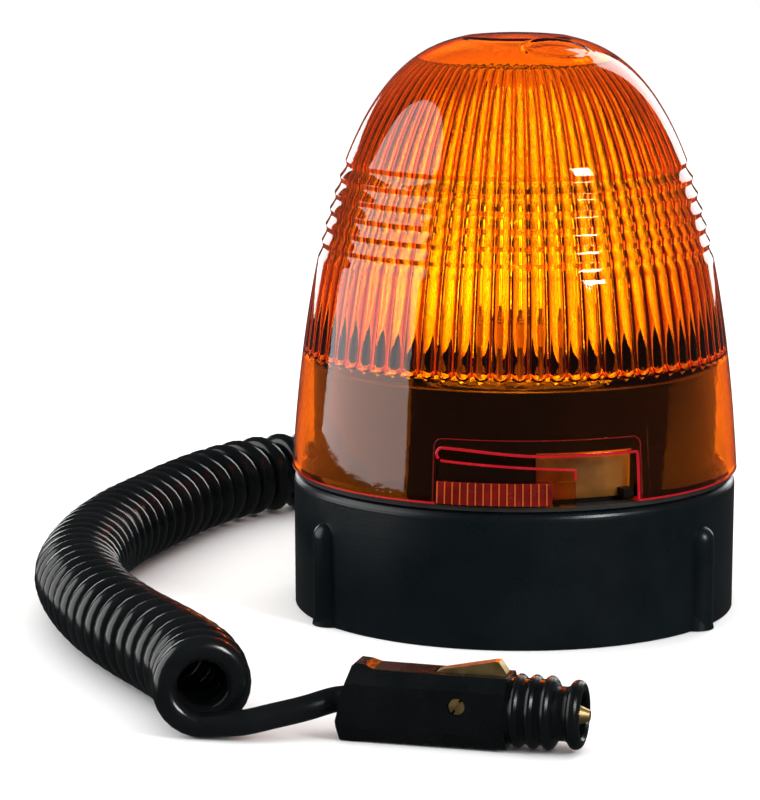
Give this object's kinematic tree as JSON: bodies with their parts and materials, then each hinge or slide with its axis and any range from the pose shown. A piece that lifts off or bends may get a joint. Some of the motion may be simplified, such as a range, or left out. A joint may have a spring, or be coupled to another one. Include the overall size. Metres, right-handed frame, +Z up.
{
  "type": "rotating warning beacon",
  "caption": "Magnetic-base rotating warning beacon: fluted amber dome with snap latch, geared mirror around a lamp, black base, coiled lead and 12 V lighter plug.",
  "frame": {"origin": "centre of the magnet's underside, on the lens axis, where the beacon stands", "axes": "+Z up along the lens axis; -Y is the front with the lens latch; +X is the right-hand side; the coiled lead leaves at the back left and lies on the left"},
  "size_m": [0.2307, 0.3702, 0.1888],
  "materials": {
    "base_black": "satin moulded",
    "steel": "satin",
    "zinc_plate": "plated",
    "ferrite": "matt",
    "rubber_black": "matt",
    "lead_black": "semi-gloss",
    "plug_black": "gloss",
    "brass": "aged",
    "copper": "wound",
    "gear_nylon": "moulded",
    "ceramic": "unglazed",
    "insulator": "moulded",
    "wire_red": "satin",
    "wire_black": "satin",
    "mirror_metal": "vacuum-metallised",
    "bulb_glass": "clear",
    "fuse": "satin",
    "tungsten": "lit",
    "lens_amber": "clear amber"
  },
  "bodies": {
    "base": {"base_skirt": "base_black", "base_deck": "base_black", "base_ribs": "base_black", "base_posts": "base_black", "base_plate": "zinc_plate", "base_screws": "steel", "magnet_pad": "rubber_black", "magnet_cup": "steel", "magnet_ring": "ferrite", "magnet_screw": "steel", "magnet_nut": "steel", "cable_gland": "base_black", "gland_nut": "base_black", "strain_relief": "rubber_black", "housing_drum": "base_black", "drum_screws": "steel", "motor_can": "steel", "motor_end_cap": "base_black", "motor_magnets": "ferrite", "motor_terminals": "brass", "motor_screws": "steel", "motor_leads": "wire_black", "idler_axle": "steel", "lamp_post": "zinc_plate", "thrust_washer": "steel", "retaining_clip": "steel", "lamp_holder": "ceramic", "bulb_clip": "steel", "lamp_contact": "brass", "contact_insulator": "insulator", "wire_positive": "wire_red", "wire_negative": "wire_black", "cord_lead": "lead_black", "cord_coil": "lead_black", "cord_tail": "lead_black", "plug_half_front": "plug_black", "plug_half_back": "plug_black", "plug_nose": "plug_black", "plug_screw": "brass", "plug_nut": "steel", "plug_wires": "wire_red", "plug_spring": "steel"},
    "motor_rotor": {"motor_shaft": "steel", "motor_armature": "copper", "motor_pinion": "gear_nylon"},
    "idler": {"idler_gear": "gear_nylon"},
    "reflector": {"ring_gear": "gear_nylon", "turntable_bush": "brass", "reflector_bracket": "zinc_plate", "reflector_dish": "mirror_metal", "reflector_screws": "steel"},
    "bulb": {"bulb_base": "steel", "bulb_glass": "bulb_glass", "bulb_filament": "tungsten"},
    "seal": {"lens_seal": "rubber_black"},
    "lens": {"lens": "lens_amber"},
    "latch": {"lens_latch": "lens_amber"},
    "plug_tip": {"plug_tip": "brass", "plug_fuse": "fuse"},
    "contact_leaf": {"plug_contact_leaf": "brass"}
  },
  "joints": [
    {"name": "reflector_spin", "type": "hinge", "parent": "base", "child": "reflector", "pos_m": [0, 0, 0.07], "axis": [0, 0, 1], "continuous": true},
    {"name": "idler_spin", "type": "hinge", "parent": "base", "child": "idler", "pos_m": [0, 0.0336, 0.07], "axis": [0, 0, 1], "continuous": true},
    {"name": "motor_spin", "type": "hinge", "parent": "base", "child": "motor_rotor", "pos_m": [-0.02, 0.0336, 0.068], "axis": [0, 0, 1], "continuous": true},
    {"name": "bulb_pull", "type": "slide", "parent": "base", "child": "bulb", "axis": [0, 0, 1], "range_m": [0, 0.03]},
    {"name": "lens_lift", "type": "slide", "parent": "base", "child": "seal", "axis": [0, 0, 1], "range_m": [0, 0.15]},
    {"name": "lens_twist", "type": "hinge", "parent": "seal", "child": "lens", "pos_m": [0, 0, 0.05], "axis": [0, 0, 1], "range_deg": [0, 8]},
    {"name": "latch_flex", "type": "hinge", "parent": "lens", "child": "latch", "pos_m": [-0.02667, -0.0672, 0.052], "axis": [0, 0, -1], "range_deg": [0, 3], "stiffness_Nm_per_rad": 0.5},
    {"name": "plug_tip_press", "type": "slide", "parent": "base", "child": "plug_tip", "axis": [-0.9636, 0.2672, 0], "range_m": [0, 0.0025], "stiffness_N_per_m": 800},
    {"name": "contact_leaf_press", "type": "hinge", "parent": "base", "child": "contact_leaf", "pos_m": [-0.02769, -0.1783, 0.0199], "axis": [0.2672, 0.9636, 0], "range_deg": [0, 7], "stiffness_Nm_per_rad": 0.3}
  ],
  "couplings": [
    {"joint": "idler_spin", "follows": "reflector_spin", "ratio": -6},
    {"joint": "motor_spin", "follows": "reflector_spin", "ratio": 24}
  ]
}
